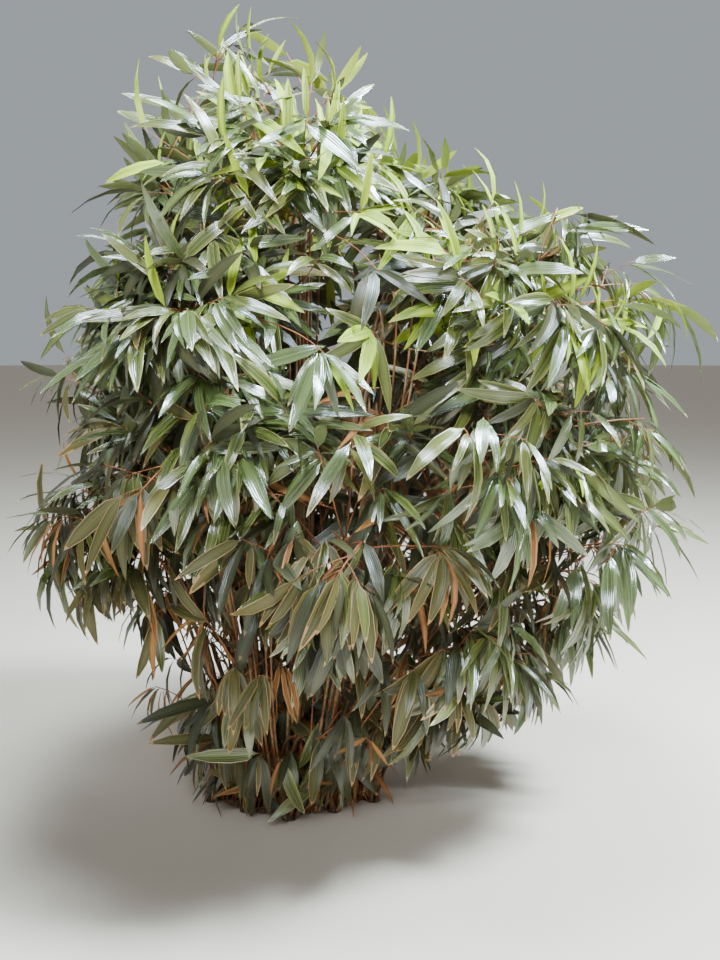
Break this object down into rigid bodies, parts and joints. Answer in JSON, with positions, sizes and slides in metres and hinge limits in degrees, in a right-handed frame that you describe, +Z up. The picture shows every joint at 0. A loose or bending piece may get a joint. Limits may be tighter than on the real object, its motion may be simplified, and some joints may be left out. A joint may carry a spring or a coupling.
{
  "type": "broad-leaved bamboo clump",
  "caption": "Rounded clump of slender bamboo culms rising from one low crown of culm bases, with fans of long pointed leaves that hang almost to the ground.",
  "frame": {"origin": "middle of the root crown on its flat cut at ground level", "axes": "+Z up out of the ground, -Y to the front that the picture shows, +X to the side that the foliage leans towards"},
  "size_m": [2.2032, 1.8515, 2.5681],
  "materials": {
    "crown": "rough old culm bases and sheath scars, matt",
    "culm": "smooth tan to orange-brown cane under papery sheaths, low sheen",
    "leaf_green": "full-grown leaf, green with a soft bluish sheen",
    "leaf_dark": "older leaf in the shade, darker green, low sheen",
    "leaf_young": "young leaf, yellow-green, low sheen",
    "leaf_weathered": "old leaf, olive with dry tan tips, matt",
    "leaf_dry": "dead leaf and leaf tip, tan to orange-brown, matt",
    "leaf_rib": "midrib, pale yellow-green",
    "sheath": "papery dry culm sheath, straw-coloured, matt"
  },
  "bodies": {
    "root": {"root_crown": "crown", "culm_skirt_1": "culm", "foliage_skirt_1": "leaf_weathered", "culm_skirt_2": "culm", "foliage_skirt_2": "leaf_weathered", "culm_skirt_3": "culm", "foliage_skirt_3": "leaf_weathered", "culm_skirt_4": "culm", "foliage_skirt_4": "leaf_weathered", "culm_skirt_5": "culm", "foliage_skirt_5": "leaf_weathered", "culm_lower_1": "culm", "foliage_lower_1": "leaf_weathered", "culm_lower_2": "culm", "foliage_lower_2": "leaf_weathered", "culm_lower_3": "culm", "foliage_lower_3": "leaf_weathered", "culm_lower_4": "culm", "foliage_lower_4": "leaf_weathered", "culm_lower_5": "culm", "foliage_lower_5": "leaf_weathered", "culm_waist_1": "culm", "foliage_waist_1": "leaf_dark", "culm_waist_2": "culm", "foliage_waist_2": "leaf_dark", "culm_waist_3": "culm", "foliage_waist_3": "leaf_dark", "culm_waist_4": "culm", "foliage_waist_4": "leaf_dark", "culm_waist_5": "culm", "foliage_waist_5": "leaf_dark", "culm_middle_1": "culm", "foliage_middle_1": "leaf_green", "culm_middle_2": "culm", "foliage_middle_2": "leaf_green", "culm_middle_3": "culm", "foliage_middle_3": "leaf_green", "culm_middle_4": "culm", "foliage_middle_4": "leaf_green", "culm_middle_5": "culm", "foliage_middle_5": "leaf_green", "culm_shoulder_1": "culm", "foliage_shoulder_1": "leaf_green", "culm_shoulder_2": "culm", "foliage_shoulder_2": "leaf_green", "culm_shoulder_3": "culm", "foliage_shoulder_3": "leaf_green", "culm_shoulder_4": "culm", "foliage_shoulder_4": "leaf_green", "culm_upper_1": "culm", "foliage_upper_1": "leaf_green", "culm_upper_2": "culm", "foliage_upper_2": "leaf_green", "culm_upper_3": "culm", "foliage_upper_3": "leaf_green", "culm_top_1": "culm", "foliage_top_1": "leaf_young", "culm_top_2": "culm", "foliage_top_2": "leaf_young"}
  },
  "joints": []
}
